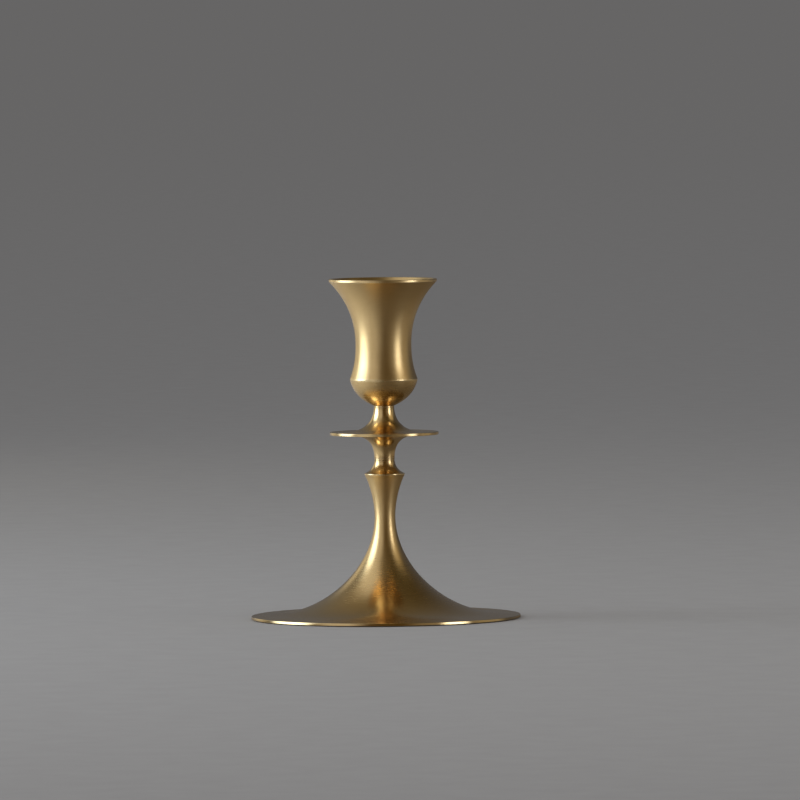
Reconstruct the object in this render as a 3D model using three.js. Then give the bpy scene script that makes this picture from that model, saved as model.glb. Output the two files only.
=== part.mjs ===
// A turned brass candlestick, in millimetres, with +Z up.
//
// Three turned pieces stand on one axis: a trumpet foot with its stem, a drip pan with a neck
// above and below it, and a flared candle cup. A threaded rod screws up into the cup and runs
// down through the pan and the foot, and a nut under the foot draws the stack together.
// The origin is on that axis, at the level of the surface that the pad stands on.

import * as THREE from 'three';

// Driving dimensions of the whole
const SIDES = 48;
const HEIGHT = 150;
const CANDLE_DIAMETER = 22;
const CANDLE_PLAY = 0.5;

// Foot: a flat rim, a shallow brim, a flare up to a slim waist, then a stem up to a sharp bead
const FOOT_RADIUS = 59.5;
const RIM_THICKNESS = 1.2;
const RIM_ROUND = 0.2;
const BRIM_RADIUS = 48;
const BRIM_RISE = 0.6;
const WAIST_RADIUS = 4.55;
const WAIST_HEIGHT = 45.4;
const FLARE_OUT = 20;
const FLARE_UP = 23.8;
const STEM_BEAD_RADIUS = 8.9;
const STEM_BEAD_LOW = 63.6;
const STEM_BEAD_HIGH = 64.1;
const COLLAR_RADIUS = 4.45;
const LOWER_SEAM = 70.5;

// Hollow under the foot
const HOLLOW_RADIUS = 49;
const NUT_SEAT_RADIUS = 13.2;
const NUT_SEAT_HEIGHT = 17;

// Drip pan and the necks that carry it
const NECK_RADIUS = 4.5;
const PAN_RADIUS = 24;
const PAN_BOTTOM = 81.2;
const PAN_TOP = 82.45;
const PAN_ROUND = 0.25;
const UPPER_SEAM = 94;

// Candle cup: a bowl, a bead, a waist round the candle and a flared lip
const CUP_FOOT_RADIUS = 4.6;
const CUP_BEAD_RADIUS = 14.95;
const CUP_BEAD_LOW = 105.4;
const CUP_BEAD_HIGH = 105.85;
const CUP_WAIST_RADIUS = 12.33;
const CUP_WAIST_HEIGHT = 121;
const LIP_RADIUS = 23.85;
const LIP_HEIGHT = 1.1;
const LIP_ROUND = 0.3;
const LIP_WIDTH = 1.1;
const SOCKET_FLOOR = 107.5;
const SOCKET_STRAIGHT = 122;

// Spigots on the pan that centre the three turned pieces
const SPIGOT_RADIUS = 3.4;
const SPIGOT_LENGTH = 3;
const SPIGOT_PLAY = 0.1;
const SPIGOT_END_PLAY = 0.2;

// M5 rod and what is on its lower end
const ROD_RADIUS = 2.5;
const ROD_CHAMFER = 0.5;
const ROD_BORE_RADIUS = 2.65;
const TAPPED_RADIUS = 2.6;
const ROD_BOTTOM = 8.3;
const ROD_TOP = 103.4;
const TAPPED_END = 104;
const WASHER_RADIUS = 5;
const WASHER_THICKNESS = 1;
const SPRING_RADIUS = 4.4;
const SPRING_THICKNESS = 1.2;
const SPRING_GAP = THREE.MathUtils.degToRad(14);
const NUT_ACROSS_FLATS = 8;
const NUT_HEIGHT = 4;

// Pad under the rim
const PAD_THICKNESS = 0.3;
const PAD_INNER_RADIUS = 51;
const PAD_OUTER_RADIUS = 57.5;

const brass = new THREE.MeshStandardMaterial({ color: 0xb8975a, roughness: 0.32, metalness: 1 });
const zincSteel = new THREE.MeshStandardMaterial({ color: 0xb4b6b8, roughness: 0.35, metalness: 1 });
const felt = new THREE.MeshStandardMaterial({ color: 0x24211f, roughness: 0.95, metalness: 0 });

const at = (radius, height) => new THREE.Vector2(radius, height);

/** A Bezier stretch of an outline, without its first point, which the outline already holds. */
function sweep(from, firstHandle, secondHandle, to, steps) {
  return new THREE.CubicBezierCurve(from, firstHandle, secondHandle, to).getPoints(steps).slice(1);
}

/** A quarter circle of an outline, running anticlockwise from the given angle. */
function quarterRound(centre, radius, fromAngle, steps = 2) {
  const arc = new THREE.EllipseCurve(centre.x, centre.y, radius, radius, fromAngle, fromAngle + Math.PI / 2);
  return arc.getPoints(steps);
}

/** A solid of revolution about Z, from an outline of (radius, height) run anticlockwise. */
function turned(name, outline, material) {
  const geometry = new THREE.LatheGeometry(outline, SIDES);
  geometry.rotateX(Math.PI / 2);
  const mesh = new THREE.Mesh(geometry, material);
  mesh.name = name;
  return mesh;
}

/** The same, for a ring of rectangular section. */
function turnedRing(name, innerRadius, outerRadius, low, high, material) {
  const outline = [
    at(innerRadius, low),
    at(outerRadius, low),
    at(outerRadius, high),
    at(innerRadius, high),
    at(innerRadius, low),
  ];
  return turned(name, outline, material);
}

function basePad() {
  return turnedRing('base_pad', PAD_INNER_RADIUS, PAD_OUTER_RADIUS, 0, PAD_THICKNESS, felt);
}

function foot() {
  const rimLow = PAD_THICKNESS;
  const rimHigh = rimLow + RIM_THICKNESS;
  const brim = at(BRIM_RADIUS, rimHigh + BRIM_RISE);
  const brimSlope = BRIM_RISE / (FOOT_RADIUS - BRIM_RADIUS);
  const waist = at(WAIST_RADIUS, WAIST_HEIGHT);
  const beadLow = at(STEM_BEAD_RADIUS, STEM_BEAD_LOW);
  const beadHigh = at(STEM_BEAD_RADIUS, STEM_BEAD_HIGH);
  const collar = at(COLLAR_RADIUS, LOWER_SEAM);
  const socketRadius = SPIGOT_RADIUS + SPIGOT_PLAY;
  const socketFloor = LOWER_SEAM - SPIGOT_LENGTH - SPIGOT_END_PLAY;
  const seatEdge = at(NUT_SEAT_RADIUS, NUT_SEAT_HEIGHT);
  const hollowEdge = at(HOLLOW_RADIUS, rimLow);

  const outline = [
    hollowEdge,
    at(FOOT_RADIUS - RIM_ROUND, rimLow),
    at(FOOT_RADIUS, rimLow + RIM_ROUND),
    ...quarterRound(at(FOOT_RADIUS - RIM_ROUND, rimHigh - RIM_ROUND), RIM_ROUND, 0),
    brim,
    ...sweep(
      brim,
      at(BRIM_RADIUS - FLARE_OUT, brim.y + FLARE_OUT * brimSlope),
      at(WAIST_RADIUS, WAIST_HEIGHT - FLARE_UP),
      waist,
      14,
    ),
    ...sweep(
      waist,
      at(WAIST_RADIUS, WAIST_HEIGHT + 6.5),
      at(STEM_BEAD_RADIUS - 1.95, STEM_BEAD_LOW - 3.4),
      beadLow,
      7,
    ),
    beadHigh,
    ...sweep(
      beadHigh,
      at(STEM_BEAD_RADIUS - 2.8, STEM_BEAD_HIGH + 1.1),
      at(COLLAR_RADIUS, LOWER_SEAM - 3.1),
      collar,
      6,
    ),
    at(socketRadius, LOWER_SEAM),
    at(socketRadius, socketFloor),
    at(ROD_BORE_RADIUS, socketFloor),
    at(ROD_BORE_RADIUS, NUT_SEAT_HEIGHT),
    seatEdge,
    ...sweep(
      seatEdge,
      at(NUT_SEAT_RADIUS + 6.5, NUT_SEAT_HEIGHT - 7.8),
      at(HOLLOW_RADIUS - 19, rimLow + 0.7),
      hollowEdge,
      8,
    ),
  ];
  return turned('foot', outline, brass);
}

function dripPan() {
  const lowerNeck = at(NECK_RADIUS, LOWER_SEAM);
  const underPan = at(15.2, PAN_BOTTOM);
  const overPan = at(16.5, PAN_TOP);
  const upperNeck = at(NECK_RADIUS, UPPER_SEAM);

  const outline = [
    at(ROD_BORE_RADIUS, LOWER_SEAM - SPIGOT_LENGTH),
    at(SPIGOT_RADIUS, LOWER_SEAM - SPIGOT_LENGTH),
    at(SPIGOT_RADIUS, LOWER_SEAM),
    lowerNeck,
    ...sweep(
      lowerNeck,
      at(NECK_RADIUS, LOWER_SEAM + 4.7),
      at(NECK_RADIUS + 0.9, PAN_BOTTOM - 0.6),
      underPan,
      9,
    ),
    ...quarterRound(at(PAN_RADIUS - PAN_ROUND, PAN_BOTTOM + PAN_ROUND), PAN_ROUND, -Math.PI / 2),
    ...quarterRound(at(PAN_RADIUS - PAN_ROUND, PAN_TOP - PAN_ROUND), PAN_ROUND, 0),
    overPan,
    ...sweep(overPan, at(overPan.x - 8.1, PAN_TOP + 0.45), at(NECK_RADIUS, UPPER_SEAM - 6.9), upperNeck, 9),
    at(SPIGOT_RADIUS, UPPER_SEAM),
    at(SPIGOT_RADIUS, UPPER_SEAM + SPIGOT_LENGTH),
    at(ROD_BORE_RADIUS, UPPER_SEAM + SPIGOT_LENGTH),
    at(ROD_BORE_RADIUS, LOWER_SEAM - SPIGOT_LENGTH),
  ];
  return turned('drip_pan', outline, brass);
}

function candleCup() {
  const cupFoot = at(CUP_FOOT_RADIUS, UPPER_SEAM);
  const beadLow = at(CUP_BEAD_RADIUS, CUP_BEAD_LOW);
  const beadHigh = at(CUP_BEAD_RADIUS, CUP_BEAD_HIGH);
  const waist = at(CUP_WAIST_RADIUS, CUP_WAIST_HEIGHT);
  const lipLow = at(LIP_RADIUS, HEIGHT - LIP_HEIGHT);
  const lipInner = at(LIP_RADIUS - LIP_WIDTH, HEIGHT);
  const socketRadius = (CANDLE_DIAMETER + CANDLE_PLAY) / 2;
  const socketTop = at(socketRadius, SOCKET_STRAIGHT);
  const spigotSocketRadius = SPIGOT_RADIUS + SPIGOT_PLAY;
  const spigotSocketEnd = UPPER_SEAM + SPIGOT_LENGTH + SPIGOT_END_PLAY;

  const outline = [
    at(0, TAPPED_END),
    at(TAPPED_RADIUS, TAPPED_END),
    at(TAPPED_RADIUS, spigotSocketEnd),
    at(spigotSocketRadius, spigotSocketEnd),
    at(spigotSocketRadius, UPPER_SEAM),
    cupFoot,
    ...sweep(
      cupFoot,
      at(CUP_FOOT_RADIUS + 4.3, UPPER_SEAM + 2),
      at(CUP_BEAD_RADIUS - 1.65, CUP_BEAD_LOW - 6.5),
      beadLow,
      8,
    ),
    beadHigh,
    ...sweep(
      beadHigh,
      at(CUP_BEAD_RADIUS - 1.55, CUP_BEAD_HIGH + 4.15),
      at(CUP_WAIST_RADIUS, CUP_WAIST_HEIGHT - 7.1),
      waist,
      5,
    ),
    ...sweep(
      waist,
      at(CUP_WAIST_RADIUS, CUP_WAIST_HEIGHT + 11.5),
      at(LIP_RADIUS - 7.25, HEIGHT - 8.5),
      lipLow,
      9,
    ),
    ...quarterRound(at(LIP_RADIUS - LIP_ROUND, HEIGHT - LIP_ROUND), LIP_ROUND, 0),
    lipInner,
    ...sweep(
      lipInner,
      at(LIP_RADIUS - 8.4, HEIGHT - 7.6),
      at(socketRadius, SOCKET_STRAIGHT + 11),
      socketTop,
      9,
    ),
    at(socketRadius, SOCKET_FLOOR),
    at(0, SOCKET_FLOOR),
  ];
  return turned('candle_cup', outline, brass);
}

function tieRod() {
  const outline = [
    at(0, ROD_BOTTOM),
    at(ROD_RADIUS - ROD_CHAMFER, ROD_BOTTOM),
    at(ROD_RADIUS, ROD_BOTTOM + ROD_CHAMFER),
    at(ROD_RADIUS, ROD_TOP - ROD_CHAMFER),
    at(ROD_RADIUS - ROD_CHAMFER, ROD_TOP),
    at(0, ROD_TOP),
  ];
  return turned('tie_rod', outline, zincSteel);
}

function flatWasher() {
  const low = NUT_SEAT_HEIGHT - WASHER_THICKNESS;
  return turnedRing('flat_washer', ROD_BORE_RADIUS, WASHER_RADIUS, low, NUT_SEAT_HEIGHT, zincSteel);
}

/** A plate with the given outline, from one height up to another. */
function plate(name, shape, low, high, material) {
  const geometry = new THREE.ExtrudeGeometry(shape, {
    depth: high - low,
    bevelEnabled: false,
    curveSegments: SIDES / 2,
  });
  const mesh = new THREE.Mesh(geometry, material);
  mesh.name = name;
  mesh.position.z = low;
  return mesh;
}

function springWasher() {
  const high = NUT_SEAT_HEIGHT - WASHER_THICKNESS;
  const halfGap = SPRING_GAP / 2;
  const ring = new THREE.Shape();
  ring.absarc(0, 0, SPRING_RADIUS, halfGap, 2 * Math.PI - halfGap, false);
  ring.absarc(0, 0, TAPPED_RADIUS, 2 * Math.PI - halfGap, halfGap, true);
  ring.closePath();
  return plate('spring_washer', ring, high - SPRING_THICKNESS, high, zincSteel);
}

function hexNut() {
  const high = NUT_SEAT_HEIGHT - WASHER_THICKNESS - SPRING_THICKNESS;
  const cornerRadius = NUT_ACROSS_FLATS / 2 / Math.cos(Math.PI / 6);
  const corners = Array.from({ length: 6 }, (_, index) => {
    const angle = (index * Math.PI) / 3;
    return new THREE.Vector2(cornerRadius * Math.cos(angle), cornerRadius * Math.sin(angle));
  });
  const hexagon = new THREE.Shape(corners);
  const bore = new THREE.Path();
  bore.absarc(0, 0, TAPPED_RADIUS, 0, 2 * Math.PI, false);
  hexagon.holes.push(bore);
  return plate('hex_nut', hexagon, high - NUT_HEIGHT, high, zincSteel);
}

const candlestick = new THREE.Group();
candlestick.add(
  basePad(),
  foot(),
  dripPan(),
  candleCup(),
  tieRod(),
  flatWasher(),
  springWasher(),
  hexNut(),
);

export default candlestick;
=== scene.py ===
import math

import bpy
from mathutils import Matrix, Vector


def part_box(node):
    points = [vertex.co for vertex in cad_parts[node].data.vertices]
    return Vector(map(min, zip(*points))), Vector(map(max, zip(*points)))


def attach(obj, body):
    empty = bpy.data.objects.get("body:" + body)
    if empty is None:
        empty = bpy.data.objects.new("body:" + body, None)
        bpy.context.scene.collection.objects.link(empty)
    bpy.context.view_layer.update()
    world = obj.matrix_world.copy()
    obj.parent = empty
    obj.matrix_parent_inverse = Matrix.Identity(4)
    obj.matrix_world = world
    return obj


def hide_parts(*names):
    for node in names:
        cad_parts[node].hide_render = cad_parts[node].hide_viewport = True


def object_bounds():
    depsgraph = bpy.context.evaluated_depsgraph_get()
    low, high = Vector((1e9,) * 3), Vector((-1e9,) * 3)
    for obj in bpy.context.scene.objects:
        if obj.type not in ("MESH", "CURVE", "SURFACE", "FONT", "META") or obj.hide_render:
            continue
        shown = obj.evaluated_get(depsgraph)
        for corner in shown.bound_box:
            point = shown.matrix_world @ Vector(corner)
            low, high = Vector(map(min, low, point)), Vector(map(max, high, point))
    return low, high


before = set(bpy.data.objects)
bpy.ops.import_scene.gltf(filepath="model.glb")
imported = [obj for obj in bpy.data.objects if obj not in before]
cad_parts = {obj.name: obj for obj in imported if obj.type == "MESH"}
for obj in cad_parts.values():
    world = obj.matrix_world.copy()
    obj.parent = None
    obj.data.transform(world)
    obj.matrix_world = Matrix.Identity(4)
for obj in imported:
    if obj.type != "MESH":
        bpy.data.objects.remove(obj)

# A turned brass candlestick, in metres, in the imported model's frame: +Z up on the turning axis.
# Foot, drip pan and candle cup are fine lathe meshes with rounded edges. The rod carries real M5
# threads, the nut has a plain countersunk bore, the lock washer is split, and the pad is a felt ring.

cad_low, cad_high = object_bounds()
MM = 0.001
BODY = "root"

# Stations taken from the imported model
foot_low, foot_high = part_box("foot")
pan_low, pan_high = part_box("drip_pan")
cup_low, cup_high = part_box("candle_cup")
rod_low, rod_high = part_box("tie_rod")
pad_low, pad_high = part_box("base_pad")
washer_low, washer_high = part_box("flat_washer")
spring_low, spring_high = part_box("spring_washer")
nut_low, nut_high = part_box("hex_nut")
LOWER_SEAM = foot_high.z
UPPER_SEAM = cup_low.z

# Foot
FOOT_RADIUS = foot_high.x
RIM_LOW = foot_low.z
RIM_HIGH = RIM_LOW + 1.2 * MM
RIM_LEAN = 0.14 * MM
BRIM_RADIUS = 48 * MM
BRIM_HEIGHT = RIM_HIGH + 0.6 * MM
BRIM_SLOPE = (BRIM_HEIGHT - RIM_HIGH) / (FOOT_RADIUS - BRIM_RADIUS)
FLARE_OUT = 20 * MM
FLARE_UP = 23.8 * MM
WAIST_RADIUS = 4.55 * MM
WAIST_HEIGHT = 45.4 * MM
STEM_BEAD_RADIUS = 8.9 * MM
STEM_BEAD_LOW = 63.6 * MM
STEM_BEAD_HIGH = 64.1 * MM
COLLAR_RADIUS = 4.45 * MM
HOLLOW_RADIUS = 49 * MM
NUT_SEAT_RADIUS = 13.2 * MM
NUT_SEAT_HEIGHT = washer_high.z
SHELL_LEAST = 0.9 * MM

# Drip pan
PAN_RADIUS = pan_high.x
NECK_RADIUS = 4.5 * MM
PAN_BOTTOM = 81.2 * MM
PAN_TOP = 82.45 * MM
UNDER_PAN_RADIUS = 15.2 * MM
OVER_PAN_RADIUS = 16.5 * MM

# Candle cup
CUP_TOP = cup_high.z
LIP_RADIUS = cup_high.x
LIP_HEIGHT = 1.1 * MM
LIP_WIDTH = 1.1 * MM
CUP_FOOT_RADIUS = 4.6 * MM
CUP_BEAD_RADIUS = 14.95 * MM
CUP_BEAD_LOW = 105.4 * MM
CUP_BEAD_HIGH = 105.85 * MM
CUP_WAIST_RADIUS = 12.33 * MM
CUP_WAIST_HEIGHT = 121 * MM
SOCKET_RADIUS = 11.25 * MM
SOCKET_FLOOR = 107.5 * MM
SOCKET_STRAIGHT = 122 * MM

# Spigots, bores, thread and pad
SPIGOT_RADIUS = 3.4 * MM
SPIGOT_PLAY = 0.1 * MM
SPIGOT_END_PLAY = 0.2 * MM
ROD_BORE_RADIUS = 2.65 * MM
TAPPED_RADIUS = 2.6 * MM
TAPPED_END = 104 * MM
THREAD_RADIUS = rod_high.x
THREAD_PITCH = 0.8 * MM
THREAD_DEPTH = 0.45 * MM
PAD_INNER_RADIUS = 51 * MM

# Edge sizes left by the lathe tool and the polishing cloth
RIM_ROUND = 0.22 * MM
CRISP = 0.13 * MM
SEAM_BREAK = 0.16 * MM
HIDDEN_BREAK = 0.08 * MM
WASHER_BREAK = 0.15 * MM
PAD_BREAK = 0.12 * MM

# Mesh fineness
SIDES = 160
FINE_STEP = 0.14 * MM
STEP_GROWTH = 1.4
WIDE_STEP = 1.5 * MM
CORNER_STEPS = 5


# ---------------------------------------------------------------- outlines

def at(radius, height):
    return Vector((radius, height))


def bezier_point(p, t):
    u = 1 - t
    return p[0] * u**3 + p[1] * (3 * u * u * t) + p[2] * (3 * u * t * t) + p[3] * t**3


def bezier_tangent(p, t):
    u = 1 - t
    d = (p[1] - p[0]) * (u * u) + (p[2] - p[1]) * (2 * u * t) + (p[3] - p[2]) * (t * t)
    return d.normalized()


class Run:
    """One smooth stretch of an outline, walked by its length."""

    SAMPLES = 240

    def __init__(self, controls, corner):
        self.controls = controls
        self.corner = corner
        self.lengths = [0.0]
        last = controls[0]
        for i in range(1, self.SAMPLES + 1):
            here = bezier_point(controls, i / self.SAMPLES)
            self.lengths.append(self.lengths[-1] + (here - last).length)
            last = here
        self.length = self.lengths[-1]

    def at_length(self, s):
        """Point and unit tangent at a length from the run's start."""
        s = min(max(s, 0.0), self.length)
        i = 1
        while i < self.SAMPLES and self.lengths[i] < s:
            i += 1
        span = self.lengths[i] - self.lengths[i - 1]
        t = (i - 1 + (s - self.lengths[i - 1]) / span) / self.SAMPLES
        return bezier_point(self.controls, t), bezier_tangent(self.controls, t)


class Outline:
    """A lathe outline of (radius, height), run anticlockwise, with a rounding at each corner."""

    def __init__(self, start):
        self.start = start
        self.end = start
        self.runs = []

    def line(self, to, corner=HIDDEN_BREAK):
        third = (to - self.end) / 3
        self.runs.append(Run([self.end, self.end + third, to - third, to], corner))
        self.end = to
        return self

    def curve(self, leave, arrive, to, corner=0.0):
        self.runs.append(Run([self.end, leave, arrive, to], corner))
        self.end = to
        return self

    def stations(self):
        """Every station as (point, tangent), and the corners as (point, turns left)."""
        closed = (self.end - self.start).length < 1e-9
        found, corners = [], []
        count = len(self.runs)
        for index, run in enumerate(self.runs):
            before = self.runs[index - 1].corner if index or closed else 0.0
            after = run.corner if index < count - 1 or closed else 0.0
            for s in spaced(before, run.length - after):
                found.append(run.at_length(s))
            if after > 0:
                following = self.runs[(index + 1) % count]
                a, a_dir = run.at_length(run.length - after)
                b, b_dir = following.at_length(after)
                corners.append((run.controls[3], a_dir.x * b_dir.y - a_dir.y * b_dir.x))
                found.extend(rounded(a, a_dir, b, b_dir))
        if closed and (found[0][0] - found[-1][0]).length < 1e-8:
            found.pop()
        kept = [found[0]]
        for station in found[1:]:
            if (station[0] - kept[-1][0]).length > 1e-8:
                kept.append(station)
        return kept, corners, closed


def spaced(low, high):
    """Lengths from low to high, close together at both ends and wider between them."""
    half = (high - low) / 2
    steps, step = [0.0], FINE_STEP
    while steps[-1] + step < half:
        steps.append(steps[-1] + step)
        step = min(step * STEP_GROWTH, WIDE_STEP)
    upward = [low + s for s in steps]
    downward = [high - s for s in reversed(steps)]
    return upward + downward


def rounded(a, a_dir, b, b_dir):
    """Stations inside a corner, on a curve tangent to both of its neighbours."""
    cross = a_dir.x * b_dir.y - a_dir.y * b_dir.x
    if abs(cross) < 1e-6:
        return []
    reach = ((b.x - a.x) * b_dir.y - (b.y - a.y) * b_dir.x) / cross
    apex = a + a_dir * reach
    inside = []
    for i in range(1, CORNER_STEPS):
        t = i / CORNER_STEPS
        point = a * (1 - t) ** 2 + apex * (2 * t * (1 - t)) + b * t * t
        tangent = (apex - a) * (1 - t) + (b - apex) * t
        inside.append((point, tangent.normalized()))
    return inside


# ---------------------------------------------------------------- meshes

EDGE_REACH = 0.42 * MM
RECESS_REACH = 1.1 * MM
SHARP_TURN = 0.25


def nearness(point, marks, reach):
    """1 on a mark, falling to 0 a few reaches away."""
    return max((math.exp(-((point - m).length / reach) ** 2) for m in marks), default=0.0)


def new_piece(name, vertices, faces, material, node):
    """A piece that rides on the body and stands for one CAD node."""
    mesh = bpy.data.meshes.new(name)
    mesh.from_pydata(vertices, [], faces)
    mesh.update()
    piece = bpy.data.objects.new(name, mesh)
    bpy.context.scene.collection.objects.link(piece)
    for one in material if isinstance(material, (list, tuple)) else [material]:
        mesh.materials.append(one)
    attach(piece, BODY)
    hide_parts(node)
    return piece


def set_attribute(mesh, name, values):
    attribute = mesh.attributes.new(name, "FLOAT", "POINT")
    attribute.data.foreach_set("value", values)


def lathe(
    name, outline, material, node, seams=(), second_material_where=None, burnished=None
):
    """A turned piece with exact surface normals, and masks for its finish: its outer edges, its
    recesses, and burnished, how far a point has been polished beyond the satin brushing."""
    stations, corners, closed = outline.stations()
    edges = [p for p, turn in corners if turn > SHARP_TURN]
    recesses = [p for p, turn in corners if turn < -SHARP_TURN] + list(seams)
    vertices, normals, rings = [], [], []
    edge_values, recess_values, burnish_values = [], [], []
    for point, tangent in stations:
        edge = nearness(point, edges, EDGE_REACH)
        recess = nearness(point, recesses, RECESS_REACH)
        burnish = burnished(point) if burnished else 0.0
        out = Vector((tangent.y, -tangent.x))
        on_axis = point.x < 1e-7
        around = 1 if on_axis else SIDES
        rings.append(range(len(vertices), len(vertices) + around))
        for k in range(around):
            c, s = math.cos(2 * math.pi * k / SIDES), math.sin(2 * math.pi * k / SIDES)
            vertices.append((point.x * c, point.x * s, point.y))
            normal = Vector((0, 0, out.y)) if on_axis else Vector((out.x * c, out.x * s, out.y))
            normals.append(normal.normalized())
            edge_values.append(edge)
            recess_values.append(recess)
            burnish_values.append(burnish)
    faces, face_materials = [], []
    pairs = list(zip(range(len(rings)), range(1, len(rings))))
    if closed:
        pairs.append((len(rings) - 1, 0))
    for i, j in pairs:
        low, high = rings[i], rings[j]
        middle = (stations[i][0] + stations[j][0]) / 2
        which = 1 if second_material_where and second_material_where(middle) else 0
        for k in range(SIDES):
            n = (k + 1) % SIDES
            if len(low) == 1:
                faces.append((low[0], high[n], high[k]))
            elif len(high) == 1:
                faces.append((low[k], low[n], high[0]))
            else:
                faces.append((low[k], low[n], high[n], high[k]))
            face_materials.append(which)
    piece = new_piece(name, vertices, faces, material, node)
    mesh = piece.data
    set_attribute(mesh, "edge", edge_values)
    set_attribute(mesh, "recess", recess_values)
    set_attribute(mesh, "burnish", burnish_values)
    mesh.polygons.foreach_set("material_index", face_materials)
    mesh.polygons.foreach_set("use_smooth", [True] * len(mesh.polygons))
    mesh.normals_split_custom_set_from_vertices(normals)
    mesh.update()
    return piece


# ---------------------------------------------------------------- shader node groups

def add(tree, kind, inputs=None, **settings):
    """A node with its settings and its unlinked input values."""
    made = tree.nodes.new(kind)
    for key, value in settings.items():
        setattr(made, key, value)
    for key, value in (inputs or {}).items():
        made.inputs[key].default_value = value
    return made


def math_node(tree, operation, a, b=None):
    """A Math node on two sockets or numbers."""
    made = add(tree, "ShaderNodeMath", operation=operation)
    for index, value in enumerate((a, b)):
        if value is None:
            continue
        if isinstance(value, (int, float)):
            made.inputs[index].default_value = value
        else:
            tree.links.new(value, made.inputs[index])
    return made.outputs[0]


def ranged(tree, value, from_low, from_high, to_low, to_high):
    made = add(tree, "ShaderNodeMapRange")
    tree.links.new(value, made.inputs["Value"])
    for key, number in zip(
        ("From Min", "From Max", "To Min", "To Max"), (from_low, from_high, to_low, to_high)
    ):
        made.inputs[key].default_value = number
    return made.outputs["Result"]


def group(name, inputs, outputs):
    """An empty node group with named float inputs and outputs, and its two end nodes."""
    tree = bpy.data.node_groups.new(name, "ShaderNodeTree")
    for socket, default in inputs:
        made = tree.interface.new_socket(socket, in_out="INPUT", socket_type="NodeSocketFloat")
        made.default_value = default
    for socket in outputs:
        tree.interface.new_socket(socket, in_out="OUTPUT", socket_type="NodeSocketFloat")
    return tree, tree.nodes.new("NodeGroupInput"), tree.nodes.new("NodeGroupOutput")


def lathe_marks_group():
    """Fine broken lines round the axis, as abrasive leaves on work that spins in a lathe.
    Line Width is across the lines and Line Length along them, both in millimetres."""
    tree, given, result = group(
        "lathe_marks", [("Line Width", 0.3), ("Line Length", 6.0), ("Detail", 3.0)], ["Lines"]
    )
    place = add(tree, "ShaderNodeTexCoord")
    split = add(tree, "ShaderNodeSeparateXYZ")
    tree.links.new(place.outputs["Object"], split.inputs[0])
    x, y, z = split.outputs
    across = math_node(tree, "MULTIPLY", given.outputs["Line Width"], MM)
    along = math_node(tree, "MULTIPLY", given.outputs["Line Length"], MM)
    radius = math_node(
        tree,
        "SQRT",
        math_node(tree, "ADD", math_node(tree, "MULTIPLY", x, x), math_node(tree, "MULTIPLY", y, y)),
    )
    joined = add(tree, "ShaderNodeCombineXYZ")
    tree.links.new(math_node(tree, "DIVIDE", x, along), joined.inputs[0])
    tree.links.new(math_node(tree, "DIVIDE", y, along), joined.inputs[1])
    tree.links.new(math_node(tree, "DIVIDE", z, across), joined.inputs[2])
    noise = add(tree, "ShaderNodeTexNoise", {"Scale": 1.0, "Roughness": 0.62}, noise_dimensions="4D")
    tree.links.new(joined.outputs[0], noise.inputs["Vector"])
    tree.links.new(math_node(tree, "DIVIDE", radius, across), noise.inputs["W"])
    tree.links.new(given.outputs["Detail"], noise.inputs["Detail"])
    tree.links.new(noise.outputs["Fac"], result.inputs["Lines"])
    return tree


def edge_polish_group():
    """Where handling and cloth have brightened the edges, broken up so that it isn't a stripe."""
    tree, given, result = group("edge_polish", [("Patch Size", 3.0), ("Breakup", 0.5)], ["Mask"])
    edge = add(tree, "ShaderNodeAttribute", attribute_name="edge")
    place = add(tree, "ShaderNodeTexCoord")
    noise = add(tree, "ShaderNodeTexNoise", {"Detail": 4.0, "Roughness": 0.6})
    size = math_node(tree, "DIVIDE", 1 / MM, given.outputs["Patch Size"])
    tree.links.new(place.outputs["Object"], noise.inputs["Vector"])
    tree.links.new(size, noise.inputs["Scale"])
    patches = ranged(tree, noise.outputs["Fac"], 0.35, 0.6, 0.0, 1.0)
    worn = math_node(tree, "MULTIPLY", math_node(tree, "SUBTRACT", 1.0, patches), given.outputs["Breakup"])
    kept = math_node(tree, "SUBTRACT", 1.0, worn)
    tree.links.new(math_node(tree, "MULTIPLY", edge.outputs["Fac"], kept), result.inputs["Mask"])
    return tree


def tarnish_group():
    """Slow clouds of dulled metal, deeper in the corners that a cloth doesn't reach."""
    tree, given, result = group(
        "tarnish", [("Cloud Size", 18.0), ("Recess Depth", 0.8), ("Speckle", 0.2)], ["Clouds", "Recesses"]
    )
    place = add(tree, "ShaderNodeTexCoord")
    recess = add(tree, "ShaderNodeAttribute", attribute_name="recess")
    clouds = add(tree, "ShaderNodeTexNoise", {"Detail": 5.0, "Roughness": 0.55, "Distortion": 0.4})
    specks = add(tree, "ShaderNodeTexNoise", {"Scale": 2600.0, "Detail": 2.0})
    tree.links.new(place.outputs["Object"], clouds.inputs["Vector"])
    tree.links.new(place.outputs["Object"], specks.inputs["Vector"])
    tree.links.new(math_node(tree, "DIVIDE", 1 / MM, given.outputs["Cloud Size"]), clouds.inputs["Scale"])
    speckle = math_node(
        tree,
        "MULTIPLY",
        ranged(tree, specks.outputs["Fac"], 0.55, 0.75, 0.0, 1.0),
        given.outputs["Speckle"],
    )
    broad = ranged(tree, clouds.outputs["Fac"], 0.35, 0.7, 0.0, 1.0)
    both = add(tree, "ShaderNodeMath", operation="ADD", use_clamp=True)
    tree.links.new(broad, both.inputs[0])
    tree.links.new(speckle, both.inputs[1])
    tree.links.new(both.outputs[0], result.inputs["Clouds"])
    deep = math_node(tree, "MULTIPLY", recess.outputs["Fac"], given.outputs["Recess Depth"])
    tree.links.new(deep, result.inputs["Recesses"])
    return tree


LATHE_MARKS = lathe_marks_group()
EDGE_POLISH = edge_polish_group()
TARNISH = tarnish_group()


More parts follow.
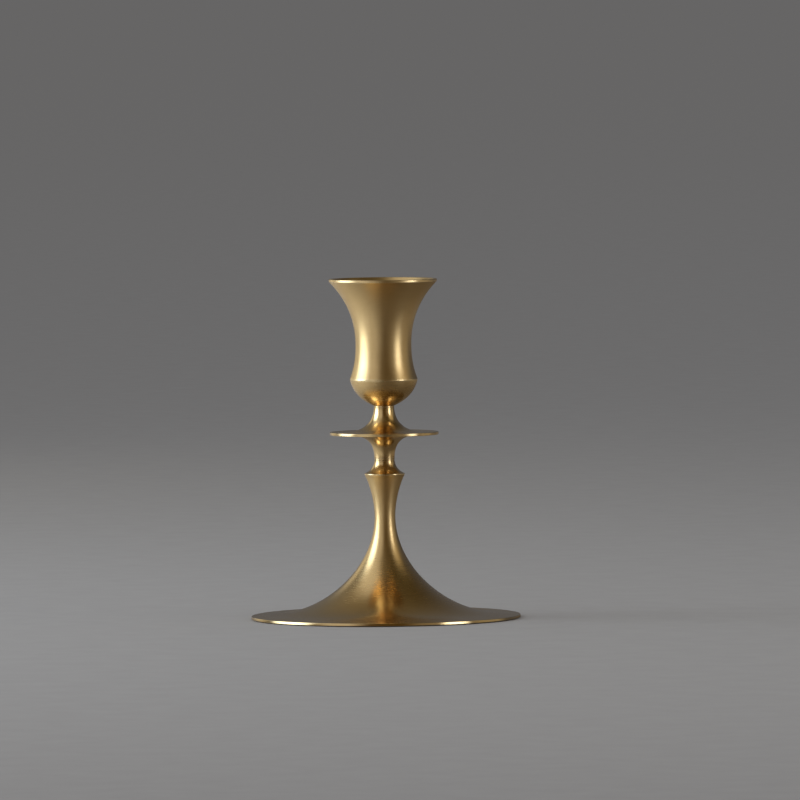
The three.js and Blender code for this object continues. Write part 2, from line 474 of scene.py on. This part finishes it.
def place_group(tree, node_tree, **values):
    """One use of a node group, with its own values. Underscores stand for spaces in socket names."""
    made = tree.nodes.new("ShaderNodeGroup")
    made.node_tree = node_tree
    for key, value in values.items():
        made.inputs[key.replace("_", " ").title()].default_value = value
    return made


def mixed(tree, factor, a, b):
    """A colour mix. Each of a and b is a colour or a socket."""
    made = add(tree, "ShaderNodeMix", data_type="RGBA")
    tree.links.new(factor, made.inputs["Factor"])
    for socket, value in ((made.inputs[6], a), (made.inputs[7], b)):
        if isinstance(value, (tuple, list)):
            socket.default_value = (*value, 1.0)
        else:
            tree.links.new(value, socket)
    return made.outputs[2]


def new_material(name):
    material = bpy.data.materials.new(name)
    material.use_nodes = True
    tree = material.node_tree
    tree.nodes.clear()
    shader = tree.nodes.new("ShaderNodeBsdfPrincipled")
    output = tree.nodes.new("ShaderNodeOutputMaterial")
    tree.links.new(shader.outputs[0], output.inputs[0])
    return material, tree, shader


# ---------------------------------------------------------------- materials

BRASS_CLEAN = (0.84, 0.62, 0.31)
BRASS_DULL = (0.72, 0.51, 0.235)
BRASS_RECESS = (0.30, 0.18, 0.075)
BRASS_POLISHED = (0.90, 0.71, 0.40)

# How far each effect changes the tint or the roughness of the brass
CLOUD_TINT = 0.55
GROOVE_TINT = 0.05
GRAIN_SPREAD = 0.05
CLOUD_DULLING = 0.05
RECESS_DULLING = 0.12
EDGE_POLISHING = 0.08
BURNISH_DEPTH = 0.19
BURNISHED_GRAIN = 0.12


def brass(name, roughness, grain, line_width, line_length, clouds=18.0, anisotropy=0.55):
    """Lathe-brushed brass. roughness is its average, and grain the height of the lines in metres."""
    material, tree, shader = new_material(name)
    coarse = place_group(tree, LATHE_MARKS, line_width=line_width, line_length=line_length, detail=3.0)
    fine = place_group(
        tree, LATHE_MARKS, line_width=line_width * 0.3, line_length=line_length * 0.45, detail=2.0
    )
    tarnish = place_group(tree, TARNISH, cloud_size=clouds)
    polish = place_group(tree, EDGE_POLISH)
    lines = math_node(
        tree,
        "ADD",
        math_node(tree, "MULTIPLY", coarse.outputs["Lines"], 0.65),
        math_node(tree, "MULTIPLY", fine.outputs["Lines"], 0.35),
    )
    clouded = math_node(tree, "MULTIPLY", tarnish.outputs["Clouds"], CLOUD_TINT)
    toned = mixed(tree, clouded, BRASS_CLEAN, BRASS_DULL)
    lined = mixed(tree, ranged(tree, lines, 0.40, 0.60, GROOVE_TINT, 0.0), toned, BRASS_RECESS)
    shaded = mixed(tree, tarnish.outputs["Recesses"], lined, BRASS_RECESS)
    bright = mixed(tree, polish.outputs["Mask"], shaded, BRASS_POLISHED)
    tree.links.new(bright, shader.inputs["Base Color"])
    spread = math_node(
        tree,
        "ADD",
        ranged(tree, lines, 0.35, 0.65, roughness - GRAIN_SPREAD, roughness + GRAIN_SPREAD),
        math_node(tree, "MULTIPLY", tarnish.outputs["Clouds"], CLOUD_DULLING),
    )
    corners_dulled = math_node(tree, "MULTIPLY", tarnish.outputs["Recesses"], RECESS_DULLING)
    dulled = math_node(tree, "ADD", spread, corners_dulled)
    burnish = add(tree, "ShaderNodeAttribute", attribute_name="burnish")
    smoothing = math_node(
        tree,
        "ADD",
        math_node(tree, "MULTIPLY", polish.outputs["Mask"], EDGE_POLISHING),
        math_node(tree, "MULTIPLY", burnish.outputs["Fac"], BURNISH_DEPTH),
    )
    tree.links.new(math_node(tree, "SUBTRACT", dulled, smoothing), shader.inputs["Roughness"])
    bump = add(tree, "ShaderNodeBump", {"Strength": 1.0, "Distance": grain})
    kept_height = ranged(tree, burnish.outputs["Fac"], 0.0, 1.0, 1.0, BURNISHED_GRAIN)
    tree.links.new(math_node(tree, "MULTIPLY", lines, kept_height), bump.inputs["Height"])
    tree.links.new(bump.outputs[0], shader.inputs["Normal"])
    tangent = add(tree, "ShaderNodeTangent", direction_type="RADIAL", axis="Z")
    tree.links.new(tangent.outputs[0], shader.inputs["Tangent"])
    shader.inputs["Metallic"].default_value = 1.0
    shader.inputs["Anisotropic"].default_value = anisotropy
    shader.inputs["Anisotropic Rotation"].default_value = 0.25
    return material


def zinc():
    """Zinc plating: cool grey with a fine crystalline bloom."""
    material, tree, shader = new_material("zinc_plate")
    place = add(tree, "ShaderNodeTexCoord")
    bloom = add(tree, "ShaderNodeTexVoronoi", {"Scale": 2200.0})
    cloud = add(tree, "ShaderNodeTexNoise", {"Scale": 420.0, "Detail": 4.0})
    for texture in (bloom, cloud):
        tree.links.new(place.outputs["Object"], texture.inputs["Vector"])
    tone = mixed(tree, cloud.outputs["Fac"], (0.48, 0.50, 0.52), (0.70, 0.71, 0.72))
    crystal = ranged(tree, bloom.outputs["Distance"], 0.0, 1.0, 0.0, 0.25)
    tree.links.new(mixed(tree, crystal, tone, (0.86, 0.87, 0.88)), shader.inputs["Base Color"])
    tree.links.new(ranged(tree, cloud.outputs["Fac"], 0.3, 0.7, 0.28, 0.46), shader.inputs["Roughness"])
    shader.inputs["Metallic"].default_value = 1.0
    return material


def felt():
    """Pressed wool: matted fibres of two lengths, dark, with a soft sheen."""
    material, tree, shader = new_material("wool_felt")
    place = add(tree, "ShaderNodeTexCoord")
    fibre = add(tree, "ShaderNodeTexNoise", {"Scale": 3400.0, "Detail": 5.0, "Distortion": 2.2})
    mat = add(tree, "ShaderNodeTexNoise", {"Scale": 620.0, "Detail": 3.0, "Distortion": 0.8})
    for texture in (fibre, mat):
        tree.links.new(place.outputs["Object"], texture.inputs["Vector"])
    tone = mixed(tree, mat.outputs["Fac"], (0.018, 0.016, 0.015), (0.055, 0.050, 0.046))
    lint = ranged(tree, fibre.outputs["Fac"], 0.56, 0.72, 0.0, 0.6)
    tree.links.new(mixed(tree, lint, tone, (0.14, 0.13, 0.12)), shader.inputs["Base Color"])
    tree.links.new(ranged(tree, mat.outputs["Fac"], 0.3, 0.7, 0.85, 1.0), shader.inputs["Roughness"])
    bump = add(tree, "ShaderNodeBump", {"Strength": 1.0, "Distance": 0.00012})
    tree.links.new(fibre.outputs["Fac"], bump.inputs["Height"])
    tree.links.new(bump.outputs[0], shader.inputs["Normal"])
    shader.inputs["Sheen Weight"].default_value = 0.35
    shader.inputs["Sheen Roughness"].default_value = 0.6
    return material


SATIN = brass("satin_brass", roughness=0.375, grain=3.3e-6, line_width=0.42, line_length=5.0)
BORED = brass("bored_brass", roughness=0.36, grain=6e-6, line_width=0.5, line_length=30.0)
UNDERSIDE = brass(
    "rough_turned_brass", roughness=0.42, grain=2.2e-5, line_width=0.9, line_length=60.0, clouds=12.0
)
ZINC = zinc()
FELT = felt()


# ---------------------------------------------------------------- turned brass pieces

# Polish at the foot's outer edge, fading to none at the waist of the stem
BRIM_BURNISH = 1.15

# Halvings of the span in the search for a point on the flare
HALVINGS = 30


def foot_piece():
    socket = SPIGOT_RADIUS + SPIGOT_PLAY
    socket_floor = pan_low.z - SPIGOT_END_PLAY
    outline = (
        Outline(at(HOLLOW_RADIUS, RIM_LOW))
        .line(at(FOOT_RADIUS, RIM_LOW), RIM_ROUND)
        .line(at(FOOT_RADIUS - RIM_LEAN, RIM_HIGH), RIM_ROUND)
        .line(at(BRIM_RADIUS, BRIM_HEIGHT), 0.0)
        .curve(*flare_controls()[1:])
        .curve(
            at(WAIST_RADIUS, WAIST_HEIGHT + 6.5 * MM),
            at(STEM_BEAD_RADIUS - 1.95 * MM, STEM_BEAD_LOW - 3.4 * MM),
            at(STEM_BEAD_RADIUS, STEM_BEAD_LOW),
            CRISP,
        )
        .line(at(STEM_BEAD_RADIUS, STEM_BEAD_HIGH), CRISP)
        .curve(
            at(STEM_BEAD_RADIUS - 2.8 * MM, STEM_BEAD_HIGH + 1.1 * MM),
            at(COLLAR_RADIUS, LOWER_SEAM - 3.1 * MM),
            at(COLLAR_RADIUS, LOWER_SEAM),
            SEAM_BREAK,
        )
        .line(at(socket, LOWER_SEAM))
        .line(at(socket, socket_floor))
        .line(at(ROD_BORE_RADIUS, socket_floor))
        .line(at(ROD_BORE_RADIUS, NUT_SEAT_HEIGHT))
        .line(at(NUT_SEAT_RADIUS, NUT_SEAT_HEIGHT), 0.4 * MM)
        .curve(
            at(NUT_SEAT_RADIUS + 6.5 * MM, NUT_SEAT_HEIGHT - 7.8 * MM),
            at(HOLLOW_RADIUS - 19 * MM, RIM_LOW + 0.7 * MM),
            at(HOLLOW_RADIUS, RIM_LOW),
            0.25 * MM,
        )
    )

    def underneath(point):
        under_rim = point.y < RIM_LOW + 0.02 * MM
        in_hollow = point.y < flare_height(point.x) - SHELL_LEAST
        return point.x < FOOT_RADIUS - RIM_ROUND and (under_rim or in_hollow)

    def burnished(point):
        if point.y > STEM_BEAD_LOW:
            return 1.0
        return BRIM_BURNISH * (1 - min(point.y / WAIST_HEIGHT, 1.0))

    return lathe(
        "foot_turned",
        outline,
        [SATIN, UNDERSIDE],
        "foot",
        seams=[at(COLLAR_RADIUS, LOWER_SEAM)],
        second_material_where=underneath,
        burnished=burnished,
    )


def flare_controls():
    """The curve of the foot's flare, from the brim up to the waist of the stem."""
    return [
        at(BRIM_RADIUS, BRIM_HEIGHT),
        at(BRIM_RADIUS - FLARE_OUT, BRIM_HEIGHT + FLARE_OUT * BRIM_SLOPE),
        at(WAIST_RADIUS, WAIST_HEIGHT - FLARE_UP),
        at(WAIST_RADIUS, WAIST_HEIGHT),
    ]


def flare_height(radius):
    """Height of the foot's outer surface at a radius, for telling its outside from its inside."""
    if radius >= BRIM_RADIUS:
        return BRIM_HEIGHT - (radius - BRIM_RADIUS) * BRIM_SLOPE
    controls = flare_controls()
    low, high = 0.0, 1.0
    for _ in range(HALVINGS):
        middle = (low + high) / 2
        if bezier_point(controls, middle).x > radius:
            low = middle
        else:
            high = middle
    return bezier_point(controls, low).y


def pan_piece():
    outline = (
        Outline(at(ROD_BORE_RADIUS, pan_low.z))
        .line(at(SPIGOT_RADIUS, pan_low.z))
        .line(at(SPIGOT_RADIUS, LOWER_SEAM))
        .line(at(NECK_RADIUS, LOWER_SEAM), SEAM_BREAK)
        .curve(
            at(NECK_RADIUS, LOWER_SEAM + 4.7 * MM),
            at(NECK_RADIUS + 0.9 * MM, PAN_BOTTOM - 0.6 * MM),
            at(UNDER_PAN_RADIUS, PAN_BOTTOM),
            0.3 * MM,
        )
        .line(at(PAN_RADIUS, PAN_BOTTOM), RIM_ROUND)
        .line(at(PAN_RADIUS, PAN_TOP), RIM_ROUND)
        .line(at(OVER_PAN_RADIUS, PAN_TOP), 0.3 * MM)
        .curve(
            at(OVER_PAN_RADIUS - 8.1 * MM, PAN_TOP + 0.45 * MM),
            at(NECK_RADIUS, UPPER_SEAM - 6.9 * MM),
            at(NECK_RADIUS, UPPER_SEAM),
            SEAM_BREAK,
        )
        .line(at(SPIGOT_RADIUS, UPPER_SEAM))
        .line(at(SPIGOT_RADIUS, pan_high.z))
        .line(at(ROD_BORE_RADIUS, pan_high.z))
        .line(at(ROD_BORE_RADIUS, pan_low.z))
    )
    seams = [at(NECK_RADIUS, LOWER_SEAM), at(NECK_RADIUS, UPPER_SEAM)]
    return lathe(
        "drip_pan_turned",
        outline,
        SATIN,
        "drip_pan",
        seams=seams,
        burnished=lambda point: 1.0,
    )


def cup_piece():
    socket = SPIGOT_RADIUS + SPIGOT_PLAY
    socket_end = pan_high.z + SPIGOT_END_PLAY
    outline = (
        Outline(at(0, TAPPED_END))
        .line(at(TAPPED_RADIUS, TAPPED_END))
        .line(at(TAPPED_RADIUS, socket_end))
        .line(at(socket, socket_end))
        .line(at(socket, UPPER_SEAM))
        .line(at(CUP_FOOT_RADIUS, UPPER_SEAM), SEAM_BREAK)
        .curve(
            at(CUP_FOOT_RADIUS + 4.3 * MM, UPPER_SEAM + 2 * MM),
            at(CUP_BEAD_RADIUS - 1.65 * MM, CUP_BEAD_LOW - 6.5 * MM),
            at(CUP_BEAD_RADIUS, CUP_BEAD_LOW),
            CRISP,
        )
        .line(at(CUP_BEAD_RADIUS, CUP_BEAD_HIGH), CRISP)
        .curve(
            at(CUP_BEAD_RADIUS - 1.55 * MM, CUP_BEAD_HIGH + 4.15 * MM),
            at(CUP_WAIST_RADIUS, CUP_WAIST_HEIGHT - 7.1 * MM),
            at(CUP_WAIST_RADIUS, CUP_WAIST_HEIGHT),
        )
        .curve(
            at(CUP_WAIST_RADIUS, CUP_WAIST_HEIGHT + 11.5 * MM),
            at(LIP_RADIUS - 7.25 * MM, CUP_TOP - 8.5 * MM),
            at(LIP_RADIUS, CUP_TOP - LIP_HEIGHT),
            CRISP,
        )
        .line(at(LIP_RADIUS, CUP_TOP), 0.35 * MM)
        .line(at(LIP_RADIUS - LIP_WIDTH, CUP_TOP), 0.3 * MM)
        .curve(
            at(LIP_RADIUS - 8.4 * MM, CUP_TOP - 7.6 * MM),
            at(SOCKET_RADIUS, SOCKET_STRAIGHT + 11 * MM),
            at(SOCKET_RADIUS, SOCKET_STRAIGHT),
        )
        .line(at(SOCKET_RADIUS, SOCKET_FLOOR), 0.5 * MM)
        .line(at(0, SOCKET_FLOOR))
    )

    def bored(point):
        return point.x < SOCKET_RADIUS + 0.01 * MM and point.y > SOCKET_FLOOR - 0.01 * MM

    def burnished(point):
        """Least on the wall of the cup, and rising down the bowl to a full polish at the neck."""
        wall, bowl, neck = 0.17, 0.42, 1.0
        if point.y >= CUP_BEAD_LOW:
            return wall
        below_bead = min((CUP_BEAD_LOW - point.y) / (CUP_BEAD_LOW - UPPER_SEAM), 1.0)
        return bowl + (neck - bowl) * below_bead

    return lathe(
        "candle_cup_turned",
        outline,
        [SATIN, BORED],
        "candle_cup",
        seams=[at(CUP_FOOT_RADIUS, UPPER_SEAM)],
        second_material_where=bored,
        burnished=burnished,
    )


# ---------------------------------------------------------------- fasteners and pad

def ring_outline(inner, outer, low, high, corner):
    return (
        Outline(at(inner, low))
        .line(at(outer, low), corner)
        .line(at(outer, high), corner)
        .line(at(inner, high), corner)
        .line(at(inner, low), corner)
    )


def washer_piece():
    outline = ring_outline(ROD_BORE_RADIUS, washer_high.x, washer_low.z, washer_high.z, WASHER_BREAK)
    return lathe("flat_washer_plated", outline, ZINC, "flat_washer")


def pad_piece():
    outline = ring_outline(PAD_INNER_RADIUS, pad_high.x, pad_low.z, pad_high.z, PAD_BREAK)
    return lathe("base_pad_felt", outline, FELT, "base_pad")


def thread_radius(turn, outer, depth):
    """Radius of a rounded M thread at a share of one pitch."""
    wave = abs((turn % 1.0) * 2 - 1)
    flank = min(max((wave - 0.12) / 0.70, 0.0), 1.0)
    return outer - depth * (1 - flank)


def rod_piece():
    """The M5 rod: a plain shank with a cut thread at each end, chamfered."""
    around = 48
    step = THREAD_PITCH / 8
    low_thread_end = rod_low.z + 14 * MM
    high_thread_start = rod_high.z - 9 * MM
    chamfer = 0.55 * MM
    run_out = 1.2 * MM
    shank = THREAD_RADIUS - 0.5 * THREAD_DEPTH
    heights = []
    z = rod_low.z
    while z < low_thread_end + run_out:
        heights.append(z)
        z += step
    heights.append(high_thread_start - run_out)
    z = high_thread_start
    while z < rod_high.z - step / 2:
        heights.append(z)
        z += step
    heights.append(rod_high.z)
    vertices = [(0, 0, rod_low.z)]
    for z in heights:
        from_end = min(z - rod_low.z, rod_high.z - z)
        cap = THREAD_RADIUS - max(chamfer - from_end, 0.0)
        fade = 1.0
        if low_thread_end < z < high_thread_start:
            fade = max(1 - (z - low_thread_end) / run_out, 0.0) if z < low_thread_end + run_out else 0.0
        for k in range(around):
            angle = 2 * math.pi * k / around
            cut = thread_radius(z / THREAD_PITCH - k / around, THREAD_RADIUS, THREAD_DEPTH)
            radius = min(shank + (cut - shank) * fade, cap)
            vertices.append((radius * math.cos(angle), radius * math.sin(angle), z))
    vertices.append((0, 0, rod_high.z))
    faces = []
    for k in range(around):
        faces.append((0, 1 + (k + 1) % around, 1 + k))
    for i in range(len(heights) - 1):
        a, b = 1 + i * around, 1 + (i + 1) * around
        for k in range(around):
            n = (k + 1) % around
            faces.append((a + k, a + n, b + n, b + k))
    top, last = len(vertices) - 1, 1 + (len(heights) - 1) * around
    for k in range(around):
        faces.append((top, last + k, last + (k + 1) % around))
    piece = new_piece("tie_rod_threaded", vertices, faces, ZINC, "tie_rod")
    smooth_by_angle(piece, 40)
    return piece


def smooth_by_angle(piece, degrees):
    """Smooth shading, broken where the surface turns by more than the angle."""
    mesh = piece.data
    mesh.polygons.foreach_set("use_smooth", [True] * len(mesh.polygons))
    mesh.set_sharp_from_angle(angle=math.radians(degrees))


def nut_piece():
    """A chamfered hexagon with a countersunk bore."""
    around = 96
    apothem = nut_high.y
    corner = apothem / math.cos(math.pi / 6)
    height = nut_high.z - nut_low.z
    chamfer_slope = math.tan(math.radians(30))
    chamfer_width = 0.42 * MM
    sink = 0.35 * MM
    rows = [0.0, 0.12, 0.25, 0.4, 0.6, 1.0]
    levels = [r * MM for r in rows] + [height - r * MM for r in reversed(rows)]

    def hex_radius(angle):
        off = angle % (math.pi / 3) - math.pi / 6
        return apothem / math.cos(off)

    loops = [[(TAPPED_RADIUS, sink)] * around, [(TAPPED_RADIUS + sink, 0.0)] * around]
    for level in levels:
        from_face = min(level, height - level)
        cone = corner - chamfer_width + from_face / chamfer_slope
        loops.append(
            [(min(hex_radius(2 * math.pi * k / around), cone), level) for k in range(around)]
        )
    loops.append([(TAPPED_RADIUS + sink, height)] * around)
    loops.append([(TAPPED_RADIUS, height - sink)] * around)
    vertices = []
    for loop in loops:
        for k, (radius, level) in enumerate(loop):
            angle = 2 * math.pi * k / around
            vertices.append((radius * math.cos(angle), radius * math.sin(angle), nut_low.z + level))
    faces = []
    for i in range(len(loops)):
        a, b = i * around, ((i + 1) % len(loops)) * around
        for k in range(around):
            n = (k + 1) % around
            faces.append((a + k, a + n, b + n, b + k))
    piece = new_piece("hex_nut_plated", vertices, faces, ZINC, "hex_nut")
    smooth_by_angle(piece, 22)
    return piece


def spring_piece():
    """A split lock washer: a square wire ring with slanted ends, pressed nearly flat."""
    inner, outer = TAPPED_RADIUS, spring_high.y
    low, high = spring_low.z, spring_high.z
    gap = math.radians(14)
    slant = math.radians(9)
    around = 90
    ease = 0.12 * MM
    section = [
        (inner + ease, low), (outer - ease, low), (outer, low + ease), (outer, high - ease),
        (outer - ease, high), (inner + ease, high), (inner, high - ease), (inner, low + ease),
    ]
    vertices = []
    for k in range(around + 1):
        share = k / around
        for radius, z in section:
            lean = slant * ((z - low) / (high - low) - 0.5)
            angle = gap / 2 + (2 * math.pi - gap) * share + lean
            vertices.append((radius * math.cos(angle), radius * math.sin(angle), z))
    size = len(section)
    faces = []
    for k in range(around):
        a, b = k * size, (k + 1) * size
        for i in range(size):
            n = (i + 1) % size
            faces.append((a + i, a + n, b + n, b + i))
    faces.append(tuple(reversed(range(size))))
    faces.append(tuple(range(around * size, (around + 1) * size)))
    piece = new_piece("spring_washer_plated", vertices, faces, ZINC, "spring_washer")
    smooth_by_angle(piece, 50)
    return piece


foot_piece()
pan_piece()
cup_piece()
washer_piece()
pad_piece()
rod_piece()
nut_piece()
spring_piece()


# ---------------------------------------------------------------- studio

FLOOR_HALF = 90.0
FLOOR_SHADES = ((0.350, 0.330, 0.310), (0.390, 0.368, 0.348))

# Painted reflection: the floor's colour as the metal sees it, painted shade in front and painted light on
# the key light's side and the far side
PAINTED_SHADE_REFLECTION = (0.150, 0.118, 0.085)
PAINTED_KEY_LIGHT_REFLECTION = (0.65, 0.60, 0.54)
PAINTED_FAR_LIGHT_REFLECTION = (0.60, 0.52, 0.42)
PAINTED_FAR_LIGHT_SHARE = 0.45

SOFTBOX_CORE = 0.35
SOFTBOXES = [
    # name, azimuth and elevation in degrees, distance, width and height in metres, radiance, colour
    ("key", -90, 16, 1.3, 1.5, 1.7, 4.4, (0.78, 0.88, 1.0)),
    ("front_left_fill", -42, 22, 1.4, 1.7, 2.0, 0.48, (0.96, 0.97, 1.0)),
    ("rear_left_fill", -140, 12, 1.5, 1.4, 1.2, 0.50, (1.0, 0.93, 0.72)),
    ("right_strip", 62, 9, 1.5, 0.9, 1.1, 3.2, (0.89, 0.93, 1.0)),
    ("right_edge_fill", 100, 5, 1.5, 1.5, 1.2, 0.22, (1.0, 0.90, 0.66)),
    ("right_high_fill", 75, 30, 1.5, 1.8, 1.2, 0.41, (1.0, 0.82, 0.50)),
    ("front_right_fill", 45, 15, 1.7, 2.2, 1.6, 0.145, (1.0, 0.97, 0.88)),
    ("overhead_left", -90, 60, 1.5, 1.8, 1.8, 0.43, (0.97, 0.98, 1.0)),
]

WALL_FRONT = (0.067, 0.040, 0.010)
WALL_BACK_LEFT = (0.150, 0.148, 0.147)
WALL_BACK_RIGHT = (0.070, 0.070, 0.080)
CEILING_LEFT = (0.20, 0.17, 0.12)
CEILING_RIGHT = (0.050, 0.037, 0.014)
AMBIENT = (0.395, 0.412, 0.44)
BACKDROP = (0.155, 0.155, 0.155)

CAMERA_DISTANCE = 4.5
CAMERA_HEIGHT = 0.291
CAMERA_ASIDE = 7.1 * MM
AIM_HEIGHT = 96.4 * MM
CAMERA_ROLL = math.radians(0.55)
LENS = 459.4


def floor():
    """A pale matt floor, wide enough to fill any low view. In the metal it shows a painted reflection:
    painted light on the key light's side and on the far side, and painted shade elsewhere."""
    half = FLOOR_HALF
    mesh = bpy.data.meshes.new("floor")
    corners = [(-half, -half, 0), (half, -half, 0), (half, half, 0), (-half, half, 0)]
    mesh.from_pydata(corners, [], [(0, 1, 2, 3)])
    material, tree, shader = new_material("pale_floor")
    place = add(tree, "ShaderNodeTexCoord")
    fleck = add(tree, "ShaderNodeTexNoise", {"Scale": 60.0, "Detail": 6.0})
    tree.links.new(place.outputs["Object"], fleck.inputs["Vector"])
    shade = mixed(tree, fleck.outputs["Fac"], *FLOOR_SHADES)
    split = add(tree, "ShaderNodeSeparateXYZ")
    tree.links.new(place.outputs["Object"], split.inputs[0])
    # Painted reflection for glossy rays only: painted light on the key light's side and the far side,
    # painted shade in front
    painted_key_light_mask = ranged(tree, split.outputs[0], -0.16, -0.01, 1.0, 0.0)
    painted_far_light_mask = ranged(tree, split.outputs[0], 0.18, 0.32, 0.0, PAINTED_FAR_LIGHT_SHARE)
    painted_key_light = mixed(tree, painted_key_light_mask, PAINTED_SHADE_REFLECTION, PAINTED_KEY_LIGHT_REFLECTION)
    painted_reflection = mixed(tree, painted_far_light_mask, painted_key_light, PAINTED_FAR_LIGHT_REFLECTION)
    path = tree.nodes.new("ShaderNodeLightPath")
    seen = mixed(tree, path.outputs["Is Glossy Ray"], shade, painted_reflection)
    tree.links.new(seen, shader.inputs["Base Color"])
    shader.inputs["Roughness"].default_value = 0.9
    shader.inputs["Specular IOR Level"].default_value = 0.0
    mesh.materials.append(material)
    made = bpy.data.objects.new("floor", mesh)
    bpy.context.scene.collection.objects.link(made)


def softbox(name, azimuth, elevation, distance, width, height, radiance, colour):
    """A soft light, even in its core and fading out towards its edges. Azimuth is measured from
    the camera's side, positive to the right."""
    a, e = math.radians(azimuth), math.radians(elevation)
    way = Vector((math.sin(a) * math.cos(e), -math.cos(a) * math.cos(e), math.sin(e)))
    light = bpy.data.lights.new(name, "AREA")
    light.shape = "RECTANGLE"
    light.size, light.size_y = width, height
    light.energy = radiance * math.pi * width * height
    light.color = colour
    light.use_nodes = True
    tree = light.node_tree
    place = add(tree, "ShaderNodeNewGeometry")
    split = add(tree, "ShaderNodeSeparateXYZ")
    tree.links.new(place.outputs["Parametric"], split.inputs[0])
    sides = [math_node(tree, "SUBTRACT", side, 0.5) for side in split.outputs[:2]]
    squares = [math_node(tree, "MULTIPLY", side, side) for side in sides]
    off_centre = math_node(tree, "SQRT", math_node(tree, "ADD", *squares))
    fading = ranged(tree, off_centre, SOFTBOX_CORE / 2, 0.5, 1.0, 0.0)
    fading.node.interpolation_type = "SMOOTHSTEP"
    tree.links.new(fading, tree.nodes["Emission"].inputs["Strength"])
    made = bpy.data.objects.new(name, light)
    made.location = Vector((0, 0, (cad_low.z + cad_high.z) / 2)) + way * distance
    made.rotation_mode = "QUATERNION"
    made.rotation_quaternion = way.to_track_quat("Z", "Y")
    made.visible_camera = False
    bpy.context.scene.collection.objects.link(made)


def surroundings():
    """A dim room: warm and dark on the camera's side, neutral grey behind, lighter to the left.
    Matt surfaces get an even, slightly cool light, and the backdrop is plain grey."""
    world = bpy.data.worlds.new("room")
    bpy.context.scene.world = world
    world.use_nodes = True
    tree = world.node_tree
    tree.nodes.clear()
    output = tree.nodes.new("ShaderNodeOutputWorld")
    background = tree.nodes.new("ShaderNodeBackground")
    place = add(tree, "ShaderNodeTexCoord")
    split = add(tree, "ShaderNodeSeparateXYZ")
    tree.links.new(place.outputs["Generated"], split.inputs[0])
    x, y, z = split.outputs
    side = ranged(tree, x, -0.4, 0.4, 0.0, 1.0)
    back = mixed(tree, side, WALL_BACK_LEFT, WALL_BACK_RIGHT)
    walls = mixed(tree, ranged(tree, y, -0.5, 0.4, 0.0, 1.0), WALL_FRONT, back)
    ceiling = mixed(tree, side, CEILING_LEFT, CEILING_RIGHT)
    room = mixed(tree, ranged(tree, z, 0.4, 0.8, 0.0, 1.0), walls, ceiling)
    path = tree.nodes.new("ShaderNodeLightPath")
    filled = mixed(tree, path.outputs["Is Diffuse Ray"], room, AMBIENT)
    seen = mixed(tree, path.outputs["Is Camera Ray"], filled, BACKDROP)
    tree.links.new(seen, background.inputs[0])
    tree.links.new(background.outputs[0], output.inputs[0])


def camera():
    data = bpy.data.cameras.new("camera")
    data.lens = LENS
    data.sensor_width = 36
    data.clip_end = 100
    made = bpy.data.objects.new("camera", data)
    made.location = (CAMERA_ASIDE, -CAMERA_DISTANCE, CAMERA_HEIGHT)
    forward = Vector((0, CAMERA_DISTANCE, AIM_HEIGHT - CAMERA_HEIGHT)).normalized()
    level = Vector((1, 0, 0))
    upright = level.cross(forward)
    right = level * math.cos(CAMERA_ROLL) - upright * math.sin(CAMERA_ROLL)
    up = upright * math.cos(CAMERA_ROLL) + level * math.sin(CAMERA_ROLL)
    turned = Matrix((right, up, -forward)).transposed()
    made.rotation_mode = "QUATERNION"
    made.rotation_quaternion = turned.to_quaternion()
    bpy.context.scene.collection.objects.link(made)
    bpy.context.scene.camera = made


floor()
for box in SOFTBOXES:
    softbox(*box)
surroundings()
camera()
bpy.context.scene.view_settings.view_transform = "Standard"
